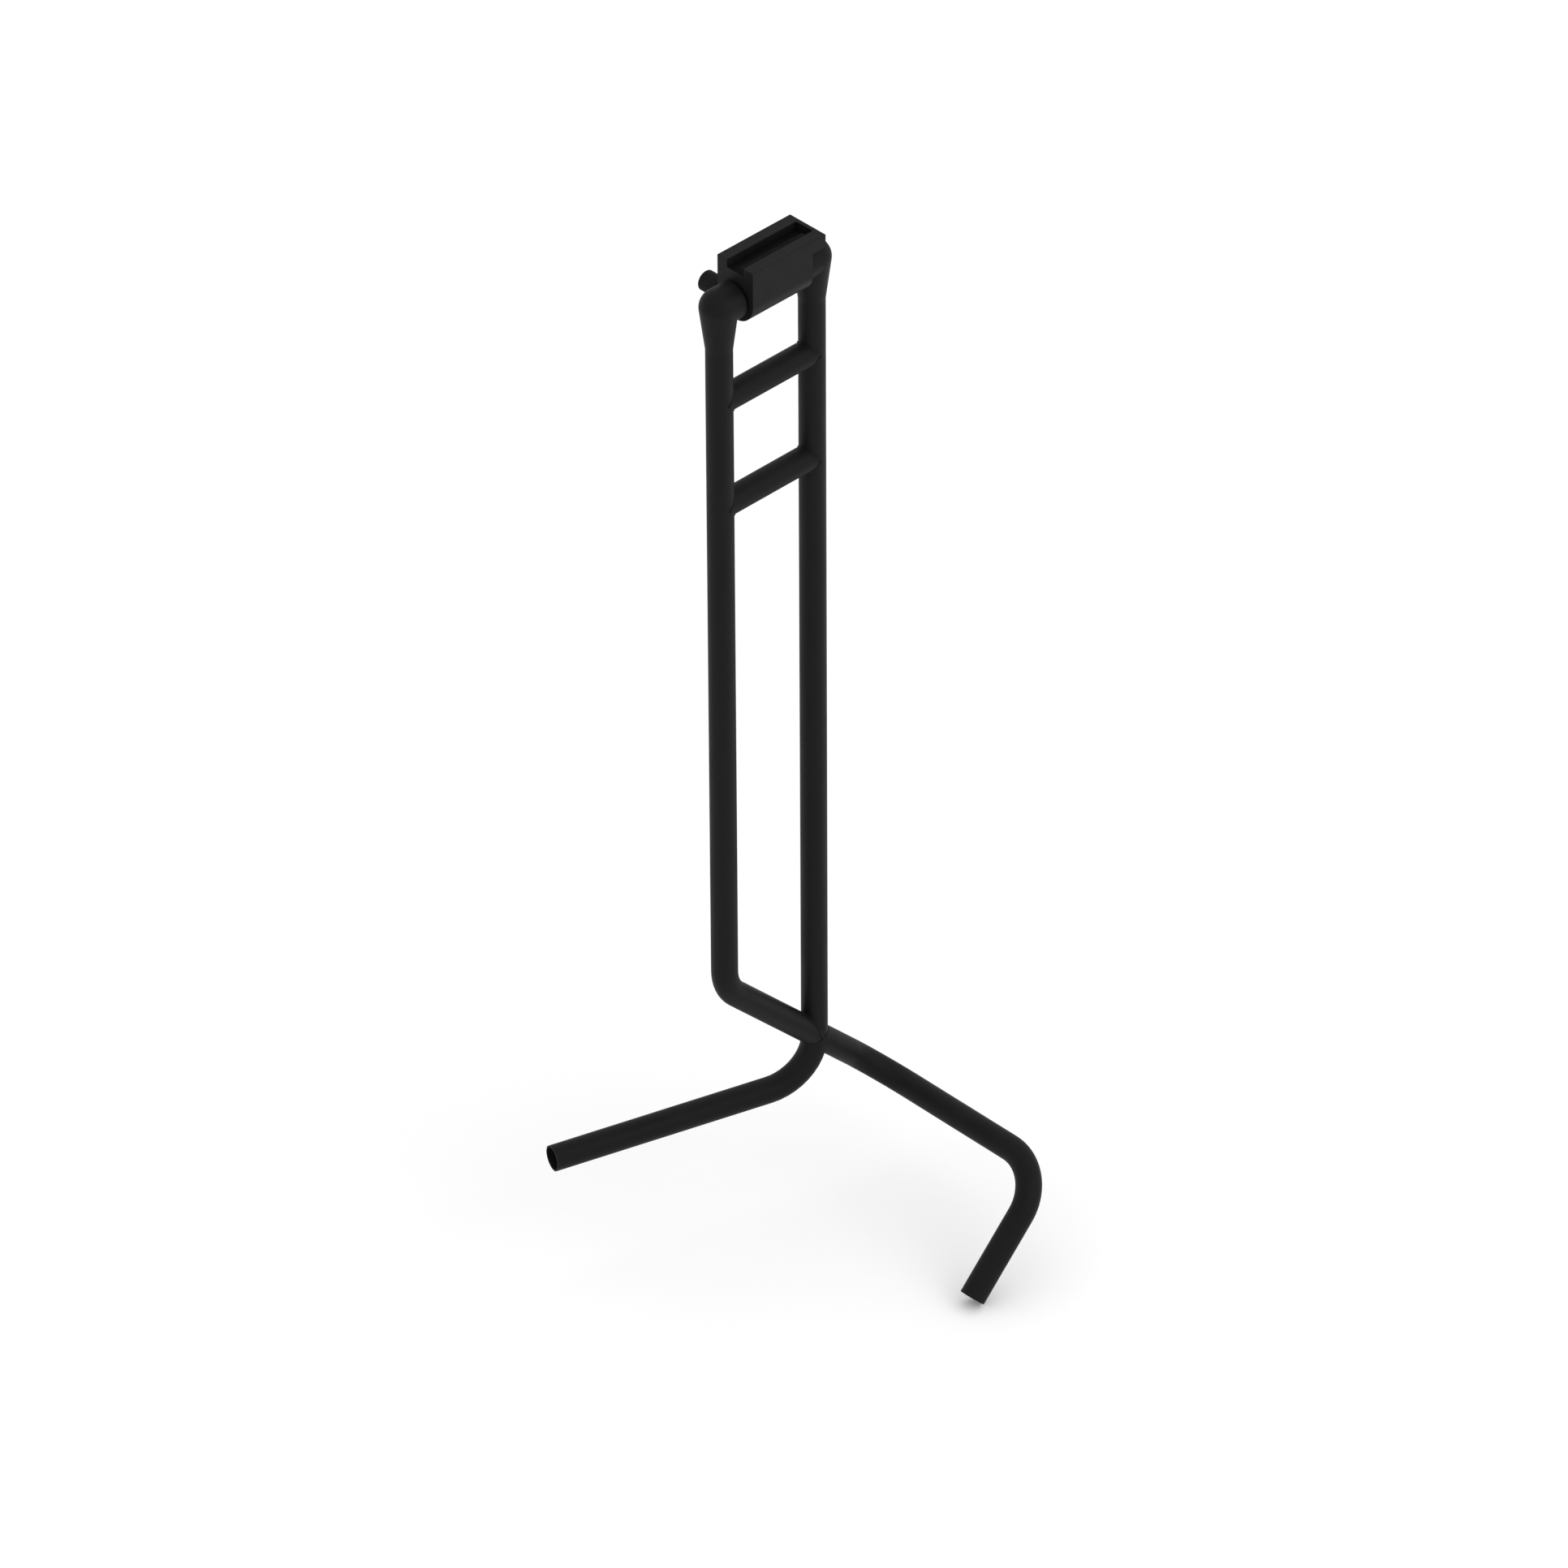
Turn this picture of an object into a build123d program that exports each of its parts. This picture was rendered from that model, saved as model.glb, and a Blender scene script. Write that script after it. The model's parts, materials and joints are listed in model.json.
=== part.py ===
from build123d import *
import os
from math import asin, atan2, cos, degrees, hypot, radians, sin

# A tall tubular frame that carries a slotted head between its two uprights. The head tilts on an
# axle, and a knob behind it draws a split clamp shut on that axle.
# Millimetres, +Z up. The origin is the centre of the front leg's open end, where the frame is held.
# +X runs from the left upright to the right one, and -Y is the front.

# ---------------------------------------------------------------- tube stock
tube_od = 25.0
tube_wall = 1.5
bend_radius = 48.0  # centre line of every bend
weld_gap = 0.05  # root gap between a coped tube end and the tube it is welded to

# ---------------------------------------------------------------- frame
leg_length = 136.4  # open end to the first corner
slope_angle = 45.0  # of the leg and of the run that crosses the right upright
side_run = 225.4  # corner to corner, front to back
crossing_run = 112.1  # second corner to the right upright
upright_spacing = 114.6  # axis to axis
arm_drop = 49.6  # crossing to the arm's axis
arm_length = 271.8  # right upright's axis to the arm's open end
arm_yaw = 17.2  # how far the arm swings back from the uprights' plane
flare_height = 826.0  # crossing to the end of the plain tube
pivot_rise = 44.4  # end of the plain tube to the tilt axis
upper_rung_drop = 57.1  # end of the plain tube down to the upper rung's axis
rung_pitch = 113.6

# ---------------------------------------------------------------- end fittings
barrel_radius = 18.0
barrel_stand = 0.4  # the barrel's inner face beyond the round of the fitting
barrel_edge = 1.0
spigot_length = 40.0
spigot_gap = 0.05  # radial, spigot in tube
fitting_screw_radius = 3.0
fitting_screw_depth = 18.0  # below the end of the plain tube

# ---------------------------------------------------------------- axle
axle_radius = 5.0
axle_gap = 0.05  # radial, axle in barrels, bush and clamp bore
axle_seat = 26.0  # depth of the blind hole in each barrel
axle_end_gap = 0.5
axle_chamfer = 0.8
grub_radius = 2.5
grub_inset = 7.0  # from the barrel's inner face
grub_shy = 1.0  # how far a grub screw sits below the surface it is driven in from
hex_across_flats = 2.5
hex_depth = 2.0

# ---------------------------------------------------------------- head block
head_depth = 45.0
head_top_height = 36.0  # above the tilt axis
end_gap = 2.0  # barrel face to head, each end
overhang = 15.9  # top plate beyond the lower part, above the right barrel
overhang_clearance = 4.5  # barrel to the underside of the top plate
head_edge = 0.8
slot_width = 21.0
slot_depth = 8.0
slot_end_wall = 4.3
liner_thickness = 5.0
liner_end_gap = 9.0

# ---------------------------------------------------------------- bush and washers
washer_thickness = 1.4
washer_radius = 9.0
bush_wall = 2.0
bush_length = 24.0
bush_gap = 0.02  # radial, bush in head

# ---------------------------------------------------------------- clamp and knob
clamp_slit = 1.6
clamp_width = 22.0
clamp_screw_inset = 10.5  # from the head's left face
clamp_web = 0.85  # left between the axle's bore and the screw's hole
stud_radius = 3.0
stud_chamfer = 0.6
stud_gap = 0.05  # radial, stud in nut
stud_clearance = 0.4  # radial, stud in both jaws
stud_tip_gap = 1.0  # stud's tip to the bottom of its hole
jaw_skin = 4.0  # front jaw in front of the stud hole
nut_width = 10.0  # square, across flats
nut_thickness = 5.0
nut_edge = 0.6
nut_setback = 10.0  # tilt axis's plane to the nut's rear face
nut_gap = 0.05  # between nut and pocket
lock_washer_radius = 8.0
lock_washer_thickness = 1.5
seat_gap = 0.05  # between faces that bear on each other
knob_radius = 10.0
knob_reach = 26.2  # head's rear face to the knob's outer face
knob_collar_radius = 6.5
knob_collar_length = 4.5
knob_edge = 0.8
knob_grooves = 24
knob_groove_radius = 0.8
knob_groove_depth = 0.35
knob_socket_depth = 13.0  # stud in knob
knob_socket_gap = 0.02  # radial, stud in knob

# ---------------------------------------------------------------- welds
weld_bead = 1.0  # radius of the bead laid round a tube joint

# ---------------------------------------------------------------- worked out from the above
tube_radius = tube_od / 2
bore_radius = tube_radius - tube_wall
spigot_radius = bore_radius - spigot_gap
slope = Vector(cos(radians(slope_angle)), 0, sin(radians(slope_angle)))
back = Vector(0, 1, 0)
up = Vector(0, 0, 1)

leg_end = Vector(0, 0, 0)
front_corner = leg_end + slope * leg_length
rear_corner = front_corner + back * side_run
crossing = rear_corner + Vector(-slope.X, 0, slope.Z) * crossing_run
kink = crossing + Vector(-1, 0, slope.Z / slope.X) * upright_spacing
arm_corner = crossing - up * arm_drop
arm_direction = Vector(-cos(radians(arm_yaw)), sin(radians(arm_yaw)), 0)
arm_end = arm_corner + arm_direction * arm_length

upper_rung_z = crossing.Z + flare_height - upper_rung_drop
rung_places = (("lower_rung", upper_rung_z - rung_pitch), ("upper_rung", upper_rung_z))
right_x = crossing.X
left_x = right_x - upright_spacing
plane_y = crossing.Y
tube_top = crossing.Z + flare_height
pivot_z = tube_top + pivot_rise
fitting_screw_z = tube_top - fitting_screw_depth

barrel_reach = barrel_radius + barrel_stand
overhang_thickness = head_top_height - barrel_radius - overhang_clearance
head_left = left_x + barrel_reach + end_gap
head_right = right_x - barrel_reach - end_gap
head_rear = plane_y + head_depth / 2
head_front = plane_y - head_depth / 2
head_top = pivot_z + head_top_height
slot_left = head_left
slot_right = head_right + overhang - slot_end_wall
slot_floor = head_top - slot_depth
slot_front = plane_y - slot_width / 2
bush_radius = axle_radius + axle_gap + bush_wall
clamp_bore_radius = axle_radius + axle_gap
clamp_relief_x = head_left + clamp_width
screw_x = head_left + clamp_screw_inset
screw_z = pivot_z - clamp_bore_radius - clamp_web - stud_clearance - stud_radius
stud_tip = head_front + jaw_skin + stud_tip_gap
knob_face = head_rear + knob_reach
knob_seat = head_rear + lock_washer_thickness + 2 * seat_gap
nut_room = nut_width + 2 * nut_gap

os.makedirs("parts", exist_ok=True)


def bent_bar(corners, outer, inner=0.0):
    """A round bar, or a tube where inner is given, along straight runs joined by equal bends."""
    with BuildPart() as bar:
        with BuildLine():
            route = FilletPolyline(*corners, radius=bend_radius)
        with BuildSketch(Plane(origin=route @ 0, z_dir=route % 0)):
            Circle(outer)
            if inner > 0:
                Circle(inner, mode=Mode.SUBTRACT)
        sweep()
    return bar.part


def cross_plane(x, z):
    """A sketch plane whose normal looks back along +Y, through the uprights' plane."""
    return Plane(origin=(x, plane_y, z), x_dir=(1, 0, 0), z_dir=(0, 1, 0))


def end_plane(x):
    """A sketch plane across the tilt axis at x: its local X is +Y and its local Y is +Z."""
    return Plane(origin=(x, plane_y, pivot_z), x_dir=(0, 1, 0), z_dir=(1, 0, 0))


# ---------------------------------------------------------------- right tube, and the space it takes
right_corners = [Vector(right_x, plane_y, tube_top), arm_corner, arm_end]
right_tube_space = bent_bar(right_corners, tube_radius + weld_gap)

with BuildPart() as right_frame_tube:
    add(bent_bar(right_corners, tube_radius, bore_radius))
    with BuildSketch(cross_plane(right_x, fitting_screw_z)):
        Circle(fitting_screw_radius + seat_gap)
    extrude(amount=tube_od, mode=Mode.SUBTRACT)
right_frame_tube.part.label = "right_frame_tube"
export_step(right_frame_tube.part, "parts/right_frame_tube.step")

# ---------------------------------------------------------------- left tube, coped to the right one
left_corners = [Vector(left_x, plane_y, tube_top), kink, crossing]
left_tube_space = bent_bar(left_corners, tube_radius + weld_gap)

with BuildPart() as left_frame_tube:
    add(bent_bar(left_corners, tube_radius, bore_radius))
    add(right_tube_space, mode=Mode.SUBTRACT)
    with BuildSketch(cross_plane(left_x, fitting_screw_z)):
        Circle(fitting_screw_radius + seat_gap)
    extrude(amount=tube_od, mode=Mode.SUBTRACT)
left_frame_tube.part.label = "left_frame_tube"
export_step(left_frame_tube.part, "parts/left_frame_tube.step")

# ---------------------------------------------------------------- front leg, coped to the right tube
leg_corners = [leg_end, front_corner, rear_corner, crossing]
leg_tube_space = bent_bar(leg_corners, tube_radius + weld_gap)

with BuildPart() as front_leg_tube:
    add(bent_bar(leg_corners, tube_radius, bore_radius))
    add(right_tube_space, mode=Mode.SUBTRACT)
front_leg_tube.part.label = "front_leg_tube"
export_step(front_leg_tube.part, "parts/front_leg_tube.step")

# ---------------------------------------------------------------- rungs, coped at both ends
for name, rung_z in rung_places:
    with BuildPart() as rung:
        with BuildSketch(Plane(origin=(left_x, plane_y, rung_z), z_dir=(1, 0, 0))):
            Circle(tube_radius)
            Circle(bore_radius, mode=Mode.SUBTRACT)
        extrude(amount=upright_spacing)
        add((left_tube_space, right_tube_space), mode=Mode.SUBTRACT)
    rung.part.label = name
    export_step(rung.part, f"parts/{name}.step")

# ---------------------------------------------------------------- end fittings
# The cone leaves the tube flush and runs tangent into the round top, which the barrel continues.
flare_angle = degrees(asin(barrel_radius / hypot(tube_radius, pivot_rise)) - atan2(tube_radius, pivot_rise))
cone_top = (barrel_radius * cos(radians(flare_angle)), -barrel_radius * sin(radians(flare_angle)))

for name, upright_x, inward in (("left_end_fitting", left_x, 1), ("right_end_fitting", right_x, -1)):
    barrel_face = upright_x + inward * barrel_reach
    with BuildPart() as fitting:
        with BuildSketch(Plane(origin=(upright_x, plane_y, pivot_z), x_dir=(1, 0, 0), z_dir=(0, -1, 0))):
            with BuildLine():
                Polyline(
                    (0, barrel_radius),
                    (0, -pivot_rise - spigot_length),
                    (spigot_radius, -pivot_rise - spigot_length),
                    (spigot_radius, -pivot_rise),
                    (tube_radius, -pivot_rise),
                    cone_top,
                )
                CenterArc((0, 0), barrel_radius, -flare_angle, 90 + flare_angle)
            make_face()
        revolve(axis=Axis((upright_x, plane_y, pivot_z), (0, 0, 1)))
        with BuildSketch(end_plane(upright_x)):
            Circle(barrel_radius)
        extrude(amount=inward * barrel_reach)
        chamfer(fitting.faces().sort_by(Axis.X)[-1 if inward > 0 else 0].edges(), barrel_edge)
        with BuildSketch(end_plane(barrel_face)):
            Circle(axle_radius + axle_gap)
        extrude(amount=-inward * axle_seat, mode=Mode.SUBTRACT)
        with BuildSketch(cross_plane(barrel_face - inward * grub_inset, pivot_z)):
            Circle(grub_radius + seat_gap)
        extrude(amount=barrel_radius + tube_wall, mode=Mode.SUBTRACT)
        with BuildSketch(cross_plane(upright_x, fitting_screw_z)):
            Circle(fitting_screw_radius + seat_gap)
        extrude(amount=tube_radius, mode=Mode.SUBTRACT)
    fitting.part.label = name
    export_step(fitting.part, f"parts/{name}.step")

# ---------------------------------------------------------------- head block
head_body_length = head_right - head_left
with BuildPart() as head_block:
    with BuildSketch(end_plane(head_left)):
        with Locations((0, head_top_height / 2)):
            Rectangle(head_depth, head_top_height)
        Circle(head_depth / 2)
    extrude(amount=head_body_length)
    with BuildSketch(end_plane(head_right)):
        with Locations((0, head_top_height - overhang_thickness / 2)):
            Rectangle(head_depth, overhang_thickness)
    extrude(amount=overhang)
    chamfer(head_block.faces().sort_by(Axis.Z)[-1].edges(), head_edge / 2)
    with BuildSketch(Plane.XY.offset(slot_floor)):
        with Locations(((slot_left + slot_right) / 2, plane_y)):
            Rectangle(slot_right - slot_left, slot_width)
    extrude(amount=slot_depth, mode=Mode.SUBTRACT)
    with BuildSketch(end_plane(head_left)):
        Circle(clamp_bore_radius)
    extrude(amount=head_body_length, mode=Mode.SUBTRACT)
    with BuildSketch(end_plane(head_right)):
        Circle(bush_radius + bush_gap)
    extrude(amount=-bush_length - seat_gap, mode=Mode.SUBTRACT)
    # the clamp: a slit from the bore down, and a relief that frees the rear jaw
    with BuildSketch(end_plane(head_left)):
        with Locations((0, -head_depth / 2)):
            Rectangle(clamp_slit, head_depth)
    extrude(amount=clamp_width + clamp_slit, mode=Mode.SUBTRACT)
    with BuildSketch(end_plane(clamp_relief_x)):
        with Locations((head_depth / 2, -head_depth / 2)):
            Rectangle(head_depth, head_depth)
    extrude(amount=clamp_slit, mode=Mode.SUBTRACT)
    # the screw hole: right through the rear jaw, blind in the front one
    with BuildSketch(cross_plane(screw_x, screw_z).offset(-head_depth / 2 + jaw_skin)):
        Circle(stud_radius + stud_clearance)
    extrude(amount=head_depth, mode=Mode.SUBTRACT)
    # the nut's pocket, open at the bottom of the front jaw
    with BuildSketch(cross_plane(screw_x, screw_z).offset(-nut_setback + nut_gap)):
        with Locations((0, nut_room / 2)):
            Rectangle(nut_room, nut_room, align=(Align.CENTER, Align.MAX))
        with Locations((0, -nut_room / 2)):
            Rectangle(nut_room, head_depth / 2, align=(Align.CENTER, Align.MAX))
    extrude(amount=-nut_thickness - 2 * nut_gap, mode=Mode.SUBTRACT)
head_block.part.label = "head_block"
export_step(head_block.part, "parts/head_block.step")

# ---------------------------------------------------------------- slot liner
with BuildPart() as slot_liner:
    with BuildSketch(Plane.XY.offset(slot_floor + seat_gap)):
        with Locations((slot_left, slot_front + seat_gap)):
            liner_run = slot_right - slot_left - liner_end_gap
            Rectangle(liner_run, liner_thickness, align=(Align.MIN, Align.MIN))
    extrude(amount=slot_depth - seat_gap)
    chamfer(slot_liner.faces().sort_by(Axis.Z)[-1].edges().sort_by(Axis.Y)[-1], head_edge)
slot_liner.part.label = "slot_liner"
export_step(slot_liner.part, "parts/slot_liner.step")

# ---------------------------------------------------------------- axle
axle_left = left_x + barrel_reach - axle_seat + axle_end_gap
axle_right = right_x - barrel_reach + axle_seat - axle_end_gap
grub_places = (left_x + barrel_reach - grub_inset, right_x - barrel_reach + grub_inset)

with BuildPart() as pivot_axle:
    with BuildSketch(end_plane(axle_left)):
        Circle(axle_radius)
    extrude(amount=axle_right - axle_left)
    chamfer(pivot_axle.edges().filter_by(GeomType.CIRCLE), axle_chamfer)
pivot_axle.part.label = "pivot_axle"
export_step(pivot_axle.part, "parts/pivot_axle.step")


def socket_screw(x, z, tip_y, head_y, radius):
    """A headless screw along +Y with a hexagon socket in the end that shows."""
    with BuildPart() as screw:
        with BuildSketch(Plane(origin=(x, tip_y, z), x_dir=(1, 0, 0), z_dir=(0, 1, 0))):
            Circle(radius)
        extrude(amount=head_y - tip_y)
        with BuildSketch(Plane(origin=(x, head_y, z), x_dir=(1, 0, 0), z_dir=(0, 1, 0))):
            RegularPolygon(hex_across_flats / 2, 6, major_radius=False)
        extrude(amount=-hex_depth, mode=Mode.SUBTRACT)
    return screw.part


with BuildPart() as axle_grub_screws:
    for grub_x in grub_places:
        add(
            socket_screw(
                grub_x,
                pivot_z,
                plane_y + axle_radius + seat_gap,
                plane_y + barrel_radius - grub_shy,
                grub_radius,
            )
        )
axle_grub_screws.part.label = "axle_grub_screws"
export_step(axle_grub_screws.part, "parts/axle_grub_screws.step")

# ---------------------------------------------------------------- screws that hold the fittings
with BuildPart() as fitting_screws:
    for upright_x in (left_x, right_x):
        add(
            socket_screw(
                upright_x,
                fitting_screw_z,
                plane_y + seat_gap,
                plane_y + tube_radius,
                fitting_screw_radius,
            )
        )
fitting_screws.part.label = "fitting_screws"
export_step(fitting_screws.part, "parts/fitting_screws.step")

# ---------------------------------------------------------------- thrust washers and bush
washer_room = end_gap - washer_thickness
left_washer_x = head_left - end_gap + washer_room / 2
right_washer_x = head_right + washer_room / 2

for name, washer_x in (("left_thrust_washer", left_washer_x), ("right_thrust_washer", right_washer_x)):
    with BuildPart() as washer:
        with BuildSketch(end_plane(washer_x)):
            Circle(washer_radius)
            Circle(axle_radius + axle_gap, mode=Mode.SUBTRACT)
        extrude(amount=washer_thickness)
    washer.part.label = name
    export_step(washer.part, f"parts/{name}.step")

with BuildPart() as pivot_bush:
    with BuildSketch(end_plane(head_right)):
        Circle(bush_radius)
        Circle(axle_radius + axle_gap, mode=Mode.SUBTRACT)
    extrude(amount=-bush_length)
pivot_bush.part.label = "pivot_bush"
export_step(pivot_bush.part, "parts/pivot_bush.step")

# ---------------------------------------------------------------- clamp nut, stud, washer and knob
with BuildPart() as clamp_nut:
    with BuildSketch(cross_plane(screw_x, screw_z).offset(-nut_setback)):
        Rectangle(nut_width, nut_width)
        Circle(stud_radius + stud_gap, mode=Mode.SUBTRACT)
    extrude(amount=-nut_thickness)
    chamfer(clamp_nut.edges().filter_by(Axis.Y), nut_edge)
clamp_nut.part.label = "clamp_nut"
export_step(clamp_nut.part, "parts/clamp_nut.step")

stud_end = knob_seat + knob_collar_length + knob_socket_depth - seat_gap
with BuildPart() as lock_stud:
    with BuildSketch(cross_plane(screw_x, screw_z).offset(stud_tip - plane_y)):
        Circle(stud_radius)
    extrude(amount=stud_end - stud_tip)
    chamfer(lock_stud.edges().filter_by(GeomType.CIRCLE), stud_chamfer)
lock_stud.part.label = "lock_stud"
export_step(lock_stud.part, "parts/lock_stud.step")

with BuildPart() as lock_washer:
    with BuildSketch(cross_plane(screw_x, screw_z).offset(head_depth / 2 + seat_gap)):
        Circle(lock_washer_radius)
        Circle(stud_radius + stud_clearance, mode=Mode.SUBTRACT)
    extrude(amount=lock_washer_thickness)
lock_washer.part.label = "lock_washer"
export_step(lock_washer.part, "parts/lock_washer.step")

knob_plane = cross_plane(screw_x, screw_z).offset(knob_seat - plane_y)
with BuildPart() as lock_knob:
    with BuildSketch(knob_plane):
        Circle(knob_collar_radius)
    extrude(amount=knob_collar_length)
    with BuildSketch(knob_plane.offset(knob_collar_length)):
        Circle(knob_radius)
    extrude(amount=knob_face - knob_seat - knob_collar_length)
    chamfer(lock_knob.edges().filter_by(GeomType.CIRCLE).sort_by(SortBy.RADIUS)[-2:], knob_edge)
    with BuildSketch(knob_plane.offset(knob_collar_length)):
        with PolarLocations(knob_radius + knob_groove_radius - knob_groove_depth, knob_grooves):
            Circle(knob_groove_radius)
    extrude(amount=knob_face - knob_seat - knob_collar_length, mode=Mode.SUBTRACT)
    with BuildSketch(knob_plane):
        Circle(stud_radius + knob_socket_gap)
    extrude(amount=knob_collar_length + knob_socket_depth, mode=Mode.SUBTRACT)
lock_knob.part.label = "lock_knob"
export_step(lock_knob.part, "parts/lock_knob.step")

# ---------------------------------------------------------------- welds
# Two equal tubes whose axes meet cut each other along half ellipses in the planes that halve their
# angles. A bead follows each half ellipse and is trimmed back to both tubes.


def bead(centre, one_way, other_way):
    """The bead in the corner between two equal tubes that leave centre along the two directions."""
    middle = (one_way + other_way).normalized()
    long_radius = tube_radius / sin(radians(one_way.get_angle(other_way) / 2))
    seam_plane = Plane(origin=centre, x_dir=middle, z_dir=middle.cross(back))
    with BuildPart() as seam:
        with BuildLine(seam_plane):
            arc = EllipticalCenterArc((0, 0), long_radius, tube_radius, -90, arc_size=180)
        with BuildSketch(Plane(origin=arc @ 0, z_dir=arc % 0)):
            Circle(weld_bead)
        sweep()
    return seam.part


for name, rung_z in rung_places:
    with BuildPart() as rung_welds:
        for upright_x, inward in ((left_x, Vector(1, 0, 0)), (right_x, Vector(-1, 0, 0))):
            for way in (up, -up):
                add(bead(Vector(upright_x, plane_y, rung_z), inward, way))
        with BuildSketch(Plane(origin=(left_x, plane_y, rung_z), z_dir=(1, 0, 0))):
            Circle(tube_radius + weld_gap)
        extrude(amount=upright_spacing, mode=Mode.SUBTRACT)
        add((left_tube_space, right_tube_space), mode=Mode.SUBTRACT)
    rung_welds.part.label = f"{name}_welds"
    export_step(rung_welds.part, f"parts/{name}_welds.step")

to_kink = (kink - crossing).normalized()
to_leg = (rear_corner - crossing).normalized()
with BuildPart() as crossing_welds:
    for one_way, other_way in ((to_kink, up), (to_kink, -up), (to_leg, up)):
        add(bead(crossing, one_way, other_way))
    add((left_tube_space, right_tube_space, leg_tube_space), mode=Mode.SUBTRACT)
crossing_welds.part.label = "crossing_welds"
export_step(crossing_welds.part, "parts/crossing_welds.step")
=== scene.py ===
import json
import math

import bmesh
import bpy
from mathutils import Matrix, Vector


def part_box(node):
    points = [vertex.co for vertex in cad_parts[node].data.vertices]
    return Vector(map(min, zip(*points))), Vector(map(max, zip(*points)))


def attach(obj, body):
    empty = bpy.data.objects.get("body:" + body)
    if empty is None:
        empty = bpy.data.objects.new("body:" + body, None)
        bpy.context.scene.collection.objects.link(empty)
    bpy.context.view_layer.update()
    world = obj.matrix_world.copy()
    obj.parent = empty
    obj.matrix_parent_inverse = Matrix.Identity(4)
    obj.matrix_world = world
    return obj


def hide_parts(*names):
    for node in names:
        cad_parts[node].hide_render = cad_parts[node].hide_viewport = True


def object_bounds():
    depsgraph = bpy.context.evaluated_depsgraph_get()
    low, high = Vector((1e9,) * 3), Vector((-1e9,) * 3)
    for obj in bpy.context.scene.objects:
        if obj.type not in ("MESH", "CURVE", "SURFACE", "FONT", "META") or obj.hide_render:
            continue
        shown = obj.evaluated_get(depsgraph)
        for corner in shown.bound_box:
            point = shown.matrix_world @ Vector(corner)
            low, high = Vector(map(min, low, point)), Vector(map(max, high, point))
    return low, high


# A tall tubular frame with a slotted head that tilts between its uprights. Metres, +Z up,
# the front is -Y, and the front leg's open end is at the origin.
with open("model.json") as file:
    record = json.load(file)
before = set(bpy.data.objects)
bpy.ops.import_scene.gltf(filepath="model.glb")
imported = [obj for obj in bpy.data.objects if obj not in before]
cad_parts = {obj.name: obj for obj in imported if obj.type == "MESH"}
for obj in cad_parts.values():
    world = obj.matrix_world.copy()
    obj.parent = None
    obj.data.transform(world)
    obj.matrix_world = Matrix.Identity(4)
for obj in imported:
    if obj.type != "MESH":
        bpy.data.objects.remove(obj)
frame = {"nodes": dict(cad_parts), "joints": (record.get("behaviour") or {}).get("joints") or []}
cad_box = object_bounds()
nodes = frame["nodes"]


# ------------------------------------------------------------------ tubes and rungs
# Five lengths of 25 mm round steel tube with 1.5 mm walls, cut, bent on a mandrel and welded.
# The whole weldment is blasted and powder coated satin black, so the skin has a low orange
# peel, a little more gloss where the powder flowed, and dust where it faces up.
MM = 0.001


def new_finish(name):
    """An empty material with its shader, its output and the object's own coordinates."""
    finish = bpy.data.materials.new(name)
    finish.use_nodes = True
    tree = finish.node_tree
    tree.nodes.clear()
    output = tree.nodes.new("ShaderNodeOutputMaterial")
    shader = tree.nodes.new("ShaderNodeBsdfPrincipled")
    tree.links.new(shader.outputs["BSDF"], output.inputs["Surface"])
    place = tree.nodes.new("ShaderNodeTexCoord")
    return finish, tree, shader, place.outputs["Object"]


def grain(tree, source, size, detail=2.0, rough=0.5):
    """Noise whose lumps are about `size` metres across."""
    noise = tree.nodes.new("ShaderNodeTexNoise")
    noise.inputs["Scale"].default_value = 1.0 / size
    noise.inputs["Detail"].default_value = detail
    noise.inputs["Roughness"].default_value = rough
    tree.links.new(source, noise.inputs["Vector"])
    return noise.outputs["Fac"]


def remap(tree, source, low, high, out_low, out_high):
    """A value carried from one range to another and held inside it."""
    span = tree.nodes.new("ShaderNodeMapRange")
    for socket, value in (
        ("From Min", low),
        ("From Max", high),
        ("To Min", out_low),
        ("To Max", out_high),
    ):
        span.inputs[socket].default_value = value
    tree.links.new(source, span.inputs["Value"])
    return span.outputs["Result"]


def reckon(tree, operation, a, b):
    """One sum of two values, each a socket or a number."""
    node = tree.nodes.new("ShaderNodeMath")
    node.operation = operation
    for socket, value in zip(node.inputs, (a, b)):
        if isinstance(value, (int, float)):
            socket.default_value = value
        else:
            tree.links.new(value, socket)
    return node.outputs["Value"]


def shade(tree, amount, dark, light):
    """A colour between two, by an amount from 0 to 1."""
    mix = tree.nodes.new("ShaderNodeMix")
    mix.data_type = "RGBA"
    mix.inputs["A"].default_value = (*dark, 1.0)
    mix.inputs["B"].default_value = (*light, 1.0)
    tree.links.new(amount, mix.inputs["Factor"])
    return mix.outputs["Result"]


def laid_over(tree, amount, under, colour):
    """A colour laid over another finish by an amount from 0 to 1."""
    mix = tree.nodes.new("ShaderNodeMix")
    mix.data_type = "RGBA"
    mix.inputs["B"].default_value = (*colour, 1.0)
    tree.links.new(amount, mix.inputs["Factor"])
    tree.links.new(under, mix.inputs["A"])
    return mix.outputs["Result"]


def relief(tree, height, depth, strength=1.0, under=None):
    """Bump of `depth` metres, laid over another one where `under` is given."""
    bump = tree.nodes.new("ShaderNodeBump")
    bump.inputs["Distance"].default_value = depth
    bump.inputs["Strength"].default_value = strength
    tree.links.new(height, bump.inputs["Height"])
    if under is not None:
        tree.links.new(under, bump.inputs["Normal"])
    return bump.outputs["Normal"]


def facing_up(tree):
    """How much the surface faces up at rest, 0 to 1."""
    place = tree.nodes.new("ShaderNodeTexCoord")
    split = tree.nodes.new("ShaderNodeSeparateXYZ")
    tree.links.new(place.outputs["Normal"], split.inputs["Vector"])
    return remap(tree, split.outputs["Z"], 0.55, 1.0, 0.0, 1.0)


def give(piece, finish):
    """The finish in every material slot of a piece."""
    piece.data.materials.clear()
    piece.data.materials.append(finish)


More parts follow.
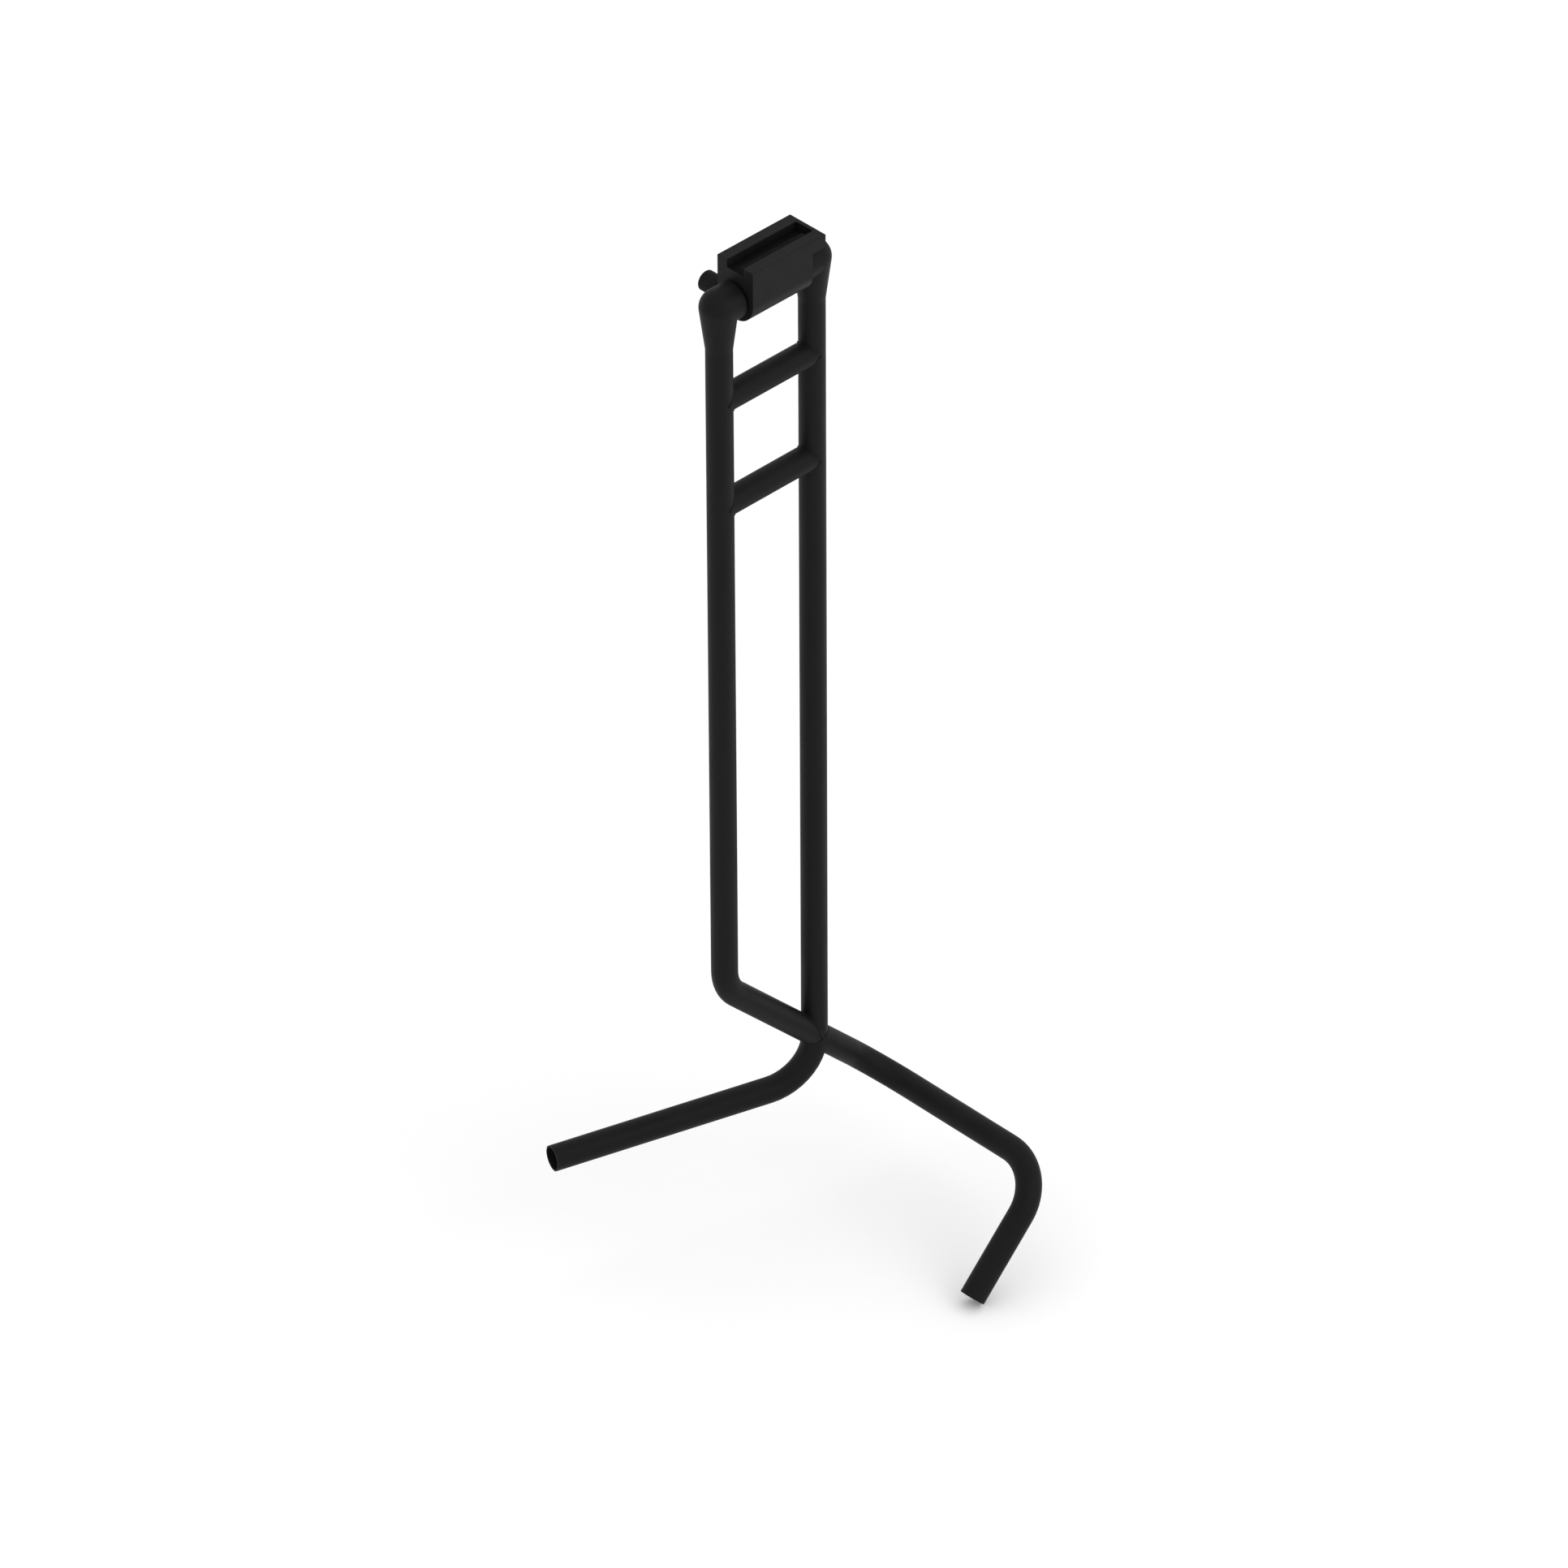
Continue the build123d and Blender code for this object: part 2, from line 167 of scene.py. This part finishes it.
peel_size = 1.6 * MM
peel_depth = 0.07 * MM
powder_size = 0.35 * MM
powder_depth = 0.012 * MM
flow_size = 45 * MM
speck_size = 0.9 * MM
coat_thick_black = (0.0050, 0.0050, 0.0054)
coat_thin_black = (0.0066, 0.0066, 0.0070)
house_dust = (0.0175, 0.0172, 0.0166)
resin_ior = 1.5
coat_reflection = 0.1

coat, tree, shader, place = new_finish("satin_black_powder_coat")
peel = grain(tree, place, peel_size, detail=1.0)
powder = grain(tree, place, powder_size, detail=2.0)
flow = grain(tree, place, flow_size, detail=3.0)
specks = grain(tree, place, speck_size, detail=4.0, rough=0.7)
specks = remap(tree, specks, 0.62, 0.74, 0.0, 1.0)
dust = reckon(tree, "MULTIPLY", facing_up(tree), remap(tree, flow, 0.42, 0.7, 0.1, 0.5))
dust = reckon(tree, "MULTIPLY", dust, reckon(tree, "ADD", specks, 0.35))
tone = shade(tree, remap(tree, flow, 0.3, 0.7, 0.0, 1.0), coat_thick_black, coat_thin_black)
tree.links.new(laid_over(tree, dust, tone, house_dust), shader.inputs["Base Color"])
powdery = remap(tree, powder, 0.3, 0.7, -0.03, 0.04)
dulled = reckon(tree, "ADD", powdery, reckon(tree, "MULTIPLY", dust, 0.25))
flowed = remap(tree, flow, 0.25, 0.75, 0.47, 0.59)
tree.links.new(reckon(tree, "ADD", flowed, dulled), shader.inputs["Roughness"])
shader.inputs["IOR"].default_value = resin_ior
shader.inputs["Specular IOR Level"].default_value = coat_reflection
skin = relief(tree, peel, peel_depth, 0.7)
tree.links.new(relief(tree, powder, powder_depth, 0.5, under=skin), shader.inputs["Normal"])

for name in ("left_frame_tube", "right_frame_tube", "front_leg_tube", "lower_rung", "upper_rung"):
    give(nodes[name], coat)

# ------------------------------------------------------------------ welds
# TIG beads run round each rung end and round the crossing before coating. The coat rounds
# them over, so only the ripple of the puddle still shows.
ripple_size = 1.1 * MM
ripple_depth = 0.35 * MM
coat_on_ripple = (0.0072, 0.0072, 0.0076)

bead, tree, shader, place = new_finish("coated_weld_bead")
ripple = grain(tree, place, ripple_size, detail=2.0, rough=0.6)
powder = grain(tree, place, powder_size, detail=2.0)
crests = remap(tree, ripple, 0.35, 0.65, 0.0, 1.0)
tree.links.new(
    shade(tree, crests, coat_thick_black, coat_on_ripple), shader.inputs["Base Color"]
)
tree.links.new(remap(tree, ripple, 0.3, 0.7, 0.44, 0.58), shader.inputs["Roughness"])
shader.inputs["IOR"].default_value = resin_ior
shader.inputs["Specular IOR Level"].default_value = coat_reflection
puddle = relief(tree, ripple, ripple_depth, 0.7)
tree.links.new(relief(tree, powder, powder_depth, 0.5, under=puddle), shader.inputs["Normal"])

for name in ("lower_rung_welds", "upper_rung_welds", "crossing_welds"):
    give(nodes[name], bead)

# ------------------------------------------------------------------ end fittings
# Turned and bored steel tops with a short barrel each, pushed into the uprights and coated
# with them in one go. A black socket screw in the back holds each one.
for name in ("left_end_fitting", "right_end_fitting"):
    give(nodes[name], coat)


def stretched(tree, source, scale):
    """Coordinates stretched by a scale on each axis, for a grain that runs one way."""
    mapping = tree.nodes.new("ShaderNodeMapping")
    mapping.inputs["Scale"].default_value = scale
    tree.links.new(source, mapping.inputs["Vector"])
    return mapping.outputs["Vector"]


blued_steel = (0.012, 0.012, 0.014)
stained_steel = (0.034, 0.032, 0.030)

oxide, tree, shader, place = new_finish("black_oxide_screw")
turned = grain(tree, stretched(tree, place, (1.0, 0.2, 1.0)), 0.3 * MM, detail=3.0)
stain = grain(tree, place, 2.5 * MM, detail=3.0)
stains = remap(tree, stain, 0.35, 0.7, 0.0, 1.0)
tree.links.new(shade(tree, stains, blued_steel, stained_steel), shader.inputs["Base Color"])
tree.links.new(remap(tree, stain, 0.3, 0.7, 0.34, 0.52), shader.inputs["Roughness"])
shader.inputs["Metallic"].default_value = 0.8
tree.links.new(relief(tree, turned, 0.03 * MM, 0.5), shader.inputs["Normal"])

for name in ("fitting_screws", "axle_grub_screws"):
    give(nodes[name], oxide)

# ------------------------------------------------------------------ axle, nut and stud
# Ground silver steel, zinc plated: the axle that the head turns on, the square nut in the
# clamp's front jaw and the stud that the knob carries.
zinc_grey = (0.42, 0.43, 0.45)
zinc_bright = (0.60, 0.60, 0.60)

steel, tree, shader, place = new_finish("ground_zinc_plated_steel")
ground = grain(tree, stretched(tree, place, (6.0, 1.0, 1.0)), 0.8 * MM, detail=4.0, rough=0.6)
cloud = grain(tree, place, 6 * MM, detail=3.0)
clouds = remap(tree, cloud, 0.3, 0.7, 0.0, 1.0)
tree.links.new(shade(tree, clouds, zinc_grey, zinc_bright), shader.inputs["Base Color"])
tree.links.new(remap(tree, ground, 0.3, 0.7, 0.22, 0.38), shader.inputs["Roughness"])
shader.inputs["Metallic"].default_value = 1.0
tree.links.new(relief(tree, ground, 0.01 * MM, 0.5), shader.inputs["Normal"])

for name in ("pivot_axle", "clamp_nut", "lock_stud"):
    give(nodes[name], steel)

# ------------------------------------------------------------------ bush and washers
# A turned brass bush lines the head's right end. Black acetal washers, parted off a rod,
# take up the gap at each barrel and sit under the knob.
dull_brass = (0.38, 0.25, 0.09)
bright_brass = (0.62, 0.46, 0.20)

brass, tree, shader, place = new_finish("turned_brass")
rings = grain(tree, stretched(tree, place, (9.0, 1.0, 1.0)), 1.2 * MM, detail=3.0)
tarnish = grain(tree, place, 4 * MM, detail=4.0)
patches = remap(tree, tarnish, 0.35, 0.7, 0.0, 1.0)
tree.links.new(shade(tree, patches, dull_brass, bright_brass), shader.inputs["Base Color"])
tree.links.new(remap(tree, tarnish, 0.3, 0.7, 0.36, 0.24), shader.inputs["Roughness"])
shader.inputs["Metallic"].default_value = 1.0
tree.links.new(relief(tree, rings, 0.02 * MM, 0.5), shader.inputs["Normal"])
give(nodes["pivot_bush"], brass)

acetal_black = (0.006, 0.006, 0.006)
acetal_bloom = (0.011, 0.011, 0.0115)
acetal_ior = 1.48

acetal, tree, shader, place = new_finish("parted_black_acetal")
lathe = grain(tree, stretched(tree, place, (1.0, 5.0, 1.0)), 0.5 * MM, detail=2.0)
bloom = grain(tree, place, 5 * MM, detail=2.0)
bloomed = remap(tree, bloom, 0.3, 0.7, 0.0, 1.0)
tree.links.new(shade(tree, bloomed, acetal_black, acetal_bloom), shader.inputs["Base Color"])
tree.links.new(remap(tree, lathe, 0.3, 0.7, 0.36, 0.5), shader.inputs["Roughness"])
shader.inputs["IOR"].default_value = acetal_ior
shader.inputs["Specular IOR Level"].default_value = 0.25
tree.links.new(relief(tree, lathe, 0.015 * MM, 0.5), shader.inputs["Normal"])

for name in ("left_thrust_washer", "right_thrust_washer", "lock_washer"):
    give(nodes[name], acetal)


# ------------------------------------------------------------------ head
# One block of black nylon, sawn and milled, with a slot along the top for the panel's edge
# and a split clamp round the axle. Its edges are broken with a fine file and the cutter leaves
# a faint grain along it. The faces inside the slot are left rougher, and their colour is
# painted darker as painted shade, standing in for the shadow down in the slot.
same_point = 0.001 * MM
flat_within = math.radians(0.5)
sharp_from = math.radians(35)
edge_steps = 3


def broken_edges(node_name, piece_name, radius):
    """A copy of a node's shape, merged, with its sharp outer edges rounded over."""
    shape = bmesh.new()
    shape.from_mesh(nodes[node_name].data)
    wear = shape.faces.layers.int.new("filed_edge")
    bmesh.ops.remove_doubles(shape, verts=shape.verts, dist=same_point)
    bmesh.ops.dissolve_limit(
        shape,
        angle_limit=flat_within,
        use_dissolve_boundaries=False,
        verts=shape.verts,
        edges=shape.edges,
        delimit={"NORMAL"},
    )
    corners = [
        edge
        for edge in shape.edges
        if edge.is_manifold and edge.is_convex and edge.calc_face_angle() > sharp_from
    ]
    rounded = bmesh.ops.bevel(
        shape,
        geom=corners,
        offset=radius,
        offset_type="OFFSET",
        affect="EDGES",
        segments=edge_steps,
        profile=0.5,
        material=-1,
        clamp_overlap=True,
    )
    for face in rounded["faces"]:
        face[wear] = 1
    for face in shape.faces:
        face.smooth = True
    for edge in shape.edges:
        edge.smooth = edge.is_manifold and edge.calc_face_angle() < sharp_from
    mesh = bpy.data.meshes.new(piece_name)
    shape.to_mesh(mesh)
    shape.free()
    piece = bpy.data.objects.new(piece_name, mesh)
    bpy.context.scene.collection.objects.link(piece)
    flat = piece.modifiers.new("flat faces", "WEIGHTED_NORMAL")
    flat.keep_sharp = True
    return piece


head_edge = 0.45 * MM
nylon_black = (0.0080, 0.0080, 0.0083)
nylon_faded = (0.0096, 0.0096, 0.0100)
nylon_rubbed = (0.0165, 0.0165, 0.0169)
# painted shade: the darker colour laid on the faces inside the slot, in place of the shadow there
nylon_painted_shade = (0.0026, 0.0026, 0.0027)
plastic_reflection = 0.07

nylon, tree, shader, place = new_finish("milled_black_nylon")
cutter = grain(tree, stretched(tree, place, (0.08, 1.0, 1.0)), 0.55 * MM, detail=3.0, rough=0.6)
fibre = grain(tree, place, 0.5 * MM, detail=2.0)
cloud = grain(tree, place, 22 * MM, detail=3.0)
worn = tree.nodes.new("ShaderNodeAttribute")
worn.attribute_name = "filed_edge"
rubbed = reckon(
    tree, "MULTIPLY", worn.outputs["Fac"], remap(tree, cloud, 0.35, 0.65, 0.2, 0.8)
)
# the mask for the faces inside the slot: painted shade in the colour, and more roughness
slot_shade = tree.nodes.new("ShaderNodeAttribute")
slot_shade.attribute_name = "painted_slot_shade"
tone = shade(tree, remap(tree, cloud, 0.3, 0.7, 0.0, 1.0), nylon_black, nylon_faded)
edged = laid_over(tree, rubbed, tone, nylon_rubbed)
tree.links.new(
    laid_over(tree, slot_shade.outputs["Fac"], edged, nylon_painted_shade), shader.inputs["Base Color"]
)
rough = remap(tree, cutter, 0.3, 0.7, 0.38, 0.50)
rough = reckon(tree, "ADD", rough, reckon(tree, "MULTIPLY", rubbed, 0.08))
rough = reckon(tree, "ADD", rough, reckon(tree, "MULTIPLY", slot_shade.outputs["Fac"], 0.25))
tree.links.new(rough, shader.inputs["Roughness"])
shader.inputs["IOR"].default_value = resin_ior
shader.inputs["Specular IOR Level"].default_value = plastic_reflection
milled = relief(tree, cutter, 0.035 * MM, 0.5)
tree.links.new(relief(tree, fibre, 0.012 * MM, 0.5, under=milled), shader.inputs["Normal"])

head_body = broken_edges("head_block", "head_body", head_edge)
strip_low, strip_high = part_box("slot_liner")
panel_room = 15 * MM
margin = 0.6 * MM
# mark the faces inside the slot, which take the painted shade
slot_shade_faces = head_body.data.attributes.new("painted_slot_shade", "INT", "FACE")
for face in head_body.data.polygons:
    spot = face.center
    slot_shade_faces.data[face.index].value = int(
        strip_low.x - margin < spot.x < strip_high.x + margin
        and strip_low.y - margin < spot.y < strip_high.y + panel_room + margin
        and strip_low.z - margin < spot.z < strip_high.z - margin
    )
give(head_body, nylon)
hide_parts("head_block")
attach(head_body, "head")

# ------------------------------------------------------------------ slot liner
# A strip of dull black rubber glued along the slot's front wall, so a panel's edge is
# gripped and not marked. It is cut from sheet, and its top edges are slightly crushed.
liner_edge = 0.5 * MM
rubber_black = (0.0022, 0.0022, 0.0022)
rubber_chalky = (0.0045, 0.0044, 0.0043)

rubber, tree, shader, place = new_finish("dull_black_rubber")
pores = grain(tree, place, 0.4 * MM, detail=4.0, rough=0.65)
talc = grain(tree, place, 7 * MM, detail=3.0)
chalk = remap(tree, talc, 0.4, 0.75, 0.0, 1.0)
tree.links.new(shade(tree, chalk, rubber_black, rubber_chalky), shader.inputs["Base Color"])
tree.links.new(remap(tree, pores, 0.3, 0.7, 0.68, 0.85), shader.inputs["Roughness"])
shader.inputs["IOR"].default_value = resin_ior
shader.inputs["Specular IOR Level"].default_value = plastic_reflection
tree.links.new(relief(tree, pores, 0.05 * MM, 0.7), shader.inputs["Normal"])

liner_strip = broken_edges("slot_liner", "liner_strip", liner_edge)
give(liner_strip, rubber)
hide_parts("slot_liner")
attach(liner_strip, "head")

# ------------------------------------------------------------------ knob
# A moulded black knob with 24 soft flutes round its rim, a shallow dish in its face and a
# plain collar that bears on the washer. Spark-eroded mould, so a fine even grain.
knob_low, knob_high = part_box("lock_knob")
knob_joint = next(joint for joint in frame["joints"] if joint["name"] == "lock_turn")
knob_axis = Vector(knob_joint["pos_m"])
knob_radius = (knob_high.x - knob_low.x) / 2
knob_length = knob_high.y - knob_low.y
flutes = 24
steps_per_flute = 8
flute_depth = 0.35 * MM
collar_radius = 6.5 * MM
collar_length = 4.5 * MM
socket_radius = 3.02 * MM
socket_depth = 13 * MM
rim = 0.8 * MM
mouth_chamfer = 0.3 * MM
collar_edge = 0.4 * MM
collar_root = 0.5 * MM
dish_depth = 0.5 * MM
flute_softness = 1.5
knob_crease = math.radians(50)

# distance from the collar's face, radius, and how much of the flutes' depth shows there
knob_stations = [
    (socket_depth + collar_length, socket_radius, 0.0),
    (mouth_chamfer, socket_radius, 0.0),
    (0.0, socket_radius + mouth_chamfer, 0.0),
    (0.0, collar_radius - collar_edge, 0.0),
    (0.1 * MM, collar_radius - 0.12 * MM, 0.0),
    (collar_edge, collar_radius, 0.0),
    (collar_length - collar_root, collar_radius, 0.0),
    (collar_length - 0.15 * MM, collar_radius + 0.15 * MM, 0.0),
    (collar_length, collar_radius + collar_root, 0.0),
]
quarter_turn = [math.radians(turn) for turn in range(0, 91, 15)]
for angle in quarter_turn:
    along = collar_length + rim * (1 - math.cos(angle))
    radius = knob_radius - rim * (1 - math.sin(angle))
    knob_stations.append((along, radius, math.sin(angle) ** 2))
for angle in quarter_turn:
    along = knob_length - rim * (1 - math.sin(angle))
    radius = knob_radius - rim * (1 - math.cos(angle))
    knob_stations.append((along, radius, math.cos(angle) ** 2))
knob_stations += [
    (knob_length, knob_radius - 2.0 * MM, 0.0),
    (knob_length - 0.15 * MM, knob_radius - 2.3 * MM, 0.0),
    (knob_length - 0.35 * MM, knob_radius - 3.0 * MM, 0.0),
    (knob_length - dish_depth, knob_radius - 5.0 * MM, 0.0),
]

knob_shape = bmesh.new()
bmesh.ops.create_circle(knob_shape, cap_ends=False, segments=flutes * steps_per_flute, radius=1.0)
rim_edges = list(knob_shape.edges)
ends = []
for station, (along, radius, fluting) in enumerate(knob_stations):
    if station > 0:
        grown = bmesh.ops.extrude_edge_only(knob_shape, edges=rim_edges)["geom"]
        rim_edges = [item for item in grown if isinstance(item, bmesh.types.BMEdge)]
        rim_edges = [edge for edge in rim_edges if edge.is_boundary]
    for vert in {vert for edge in rim_edges for vert in edge.verts}:
        angle = math.atan2(vert.co.y, vert.co.x)
        groove = fluting * flute_depth * max(0.0, math.cos(flutes * angle)) ** flute_softness
        reach = radius - groove
        vert.co = Vector((reach * math.cos(angle), reach * math.sin(angle), -along))
    if station in (0, len(knob_stations) - 1):
        ends.append(list(rim_edges))
for end in ends:
    bmesh.ops.contextual_create(knob_shape, geom=end)
knob_place = Matrix.Translation((knob_axis.x, knob_low.y, knob_axis.z))
face_back = Matrix.Rotation(math.pi / 2, 4, "X")
bmesh.ops.transform(knob_shape, matrix=knob_place @ face_back, verts=knob_shape.verts)
bmesh.ops.recalc_face_normals(knob_shape, faces=knob_shape.faces)
for face in knob_shape.faces:
    face.smooth = True
for edge in knob_shape.edges:
    edge.smooth = edge.calc_face_angle() < knob_crease
knob_mesh = bpy.data.meshes.new("fluted_knob")
knob_shape.to_mesh(knob_mesh)
knob_shape.free()
fluted_knob = bpy.data.objects.new("fluted_knob", knob_mesh)
bpy.context.scene.collection.objects.link(fluted_knob)

knob_black = (0.0068, 0.0068, 0.0069)
knob_handled = (0.0092, 0.0092, 0.0094)

moulded, tree, shader, place = new_finish("moulded_black_knob")
spark = grain(tree, place, 0.28 * MM, detail=3.0, rough=0.6)
hands = grain(tree, place, 6 * MM, detail=3.0)
handled = remap(tree, hands, 0.3, 0.7, 0.0, 1.0)
tree.links.new(shade(tree, handled, knob_black, knob_handled), shader.inputs["Base Color"])
sparked = remap(tree, spark, 0.3, 0.7, 0.54, 0.66)
polished = remap(tree, hands, 0.35, 0.7, -0.08, 0.04)
tree.links.new(reckon(tree, "ADD", sparked, polished), shader.inputs["Roughness"])
shader.inputs["IOR"].default_value = resin_ior
shader.inputs["Specular IOR Level"].default_value = plastic_reflection
tree.links.new(relief(tree, spark, 0.03 * MM, 0.6), shader.inputs["Normal"])
give(fluted_knob, moulded)
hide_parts("lock_knob")
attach(fluted_knob, "lock_knob")

# ------------------------------------------------------------------ floor and light
# A plain pale floor just under the lowest tube end, an even white room, and one broad soft
# light in front and to the right.
floor_gap = 0.3 * MM
floor_size = 14.0
floor_shape = bmesh.new()
bmesh.ops.create_grid(floor_shape, x_segments=1, y_segments=1, size=floor_size)
bmesh.ops.translate(floor_shape, verts=floor_shape.verts, vec=(0, 0, cad_box[0][2] - floor_gap))
floor_mesh = bpy.data.meshes.new("floor")
floor_shape.to_mesh(floor_mesh)
floor_shape.free()
floor = bpy.data.objects.new("floor", floor_mesh)
bpy.context.scene.collection.objects.link(floor)
floor_pale = (0.965, 0.965, 0.965)
floor_paler = (0.98, 0.98, 0.98)
patch_size = 0.6
paint, tree, shader, place = new_finish("pale_floor")
patch = grain(tree, place, patch_size, detail=2.0)
uneven = remap(tree, patch, 0.3, 0.7, 0.0, 1.0)
tree.links.new(shade(tree, uneven, floor_pale, floor_paler), shader.inputs["Base Color"])
tree.links.new(remap(tree, patch, 0.3, 0.7, 0.75, 0.85), shader.inputs["Roughness"])
give(floor, paint)

room = bpy.data.worlds.new("white_room")
room.use_nodes = True
walls = room.node_tree.nodes["Background"]
walls.inputs["Color"].default_value = (1.0, 1.0, 1.0, 1.0)
walls.inputs["Strength"].default_value = 1.0
bpy.context.scene.world = room

key_width = 3.0
key_height = 2.2
key_watts = 30.0
key_place = (0.9, -3.0, 2.6)
middle = Vector((-0.04, 0.2, 0.6))
key = bpy.data.lights.new("soft_key", "AREA")
key.shape = "RECTANGLE"
key.size = key_width
key.size_y = key_height
key.energy = key_watts
key_light = bpy.data.objects.new("soft_key", key)
key_light.location = key_place
key_light.rotation_euler = (key_light.location - middle).to_track_quat("Z", "Y").to_euler()
bpy.context.scene.collection.objects.link(key_light)
bpy.context.scene.view_settings.view_transform = "Standard"

# ------------------------------------------------------------------ camera
# Far off, to the front left and well above, with a long lens, so parallel edges stay parallel.
view_swing = math.radians(-44.067)
view_rise = math.radians(36.552)
view_roll = math.radians(-0.307)
view_distance = 11.7594
turn_to_view = (
    Matrix.Rotation(view_swing, 3, "Z")
    @ Matrix.Rotation(math.pi / 2 - view_rise, 3, "X")
    @ Matrix.Rotation(view_roll, 3, "Z")
)
crossing = Vector((0.017183, 0.2254, 0.175716))
aim_from_crossing = Vector((-0.02825, 0.230975, 0.0))
aim = crossing + turn_to_view @ aim_from_crossing
lens = bpy.data.cameras.new("long_lens")
lens.sensor_width = 36.0
lens.lens = 291.16
lens.clip_end = 60.0
camera = bpy.data.objects.new("camera", lens)
eye = aim + turn_to_view @ Vector((0, 0, view_distance))
camera.matrix_world = Matrix.Translation(eye) @ turn_to_view.to_4x4()
bpy.context.scene.collection.objects.link(camera)
bpy.context.scene.camera = camera
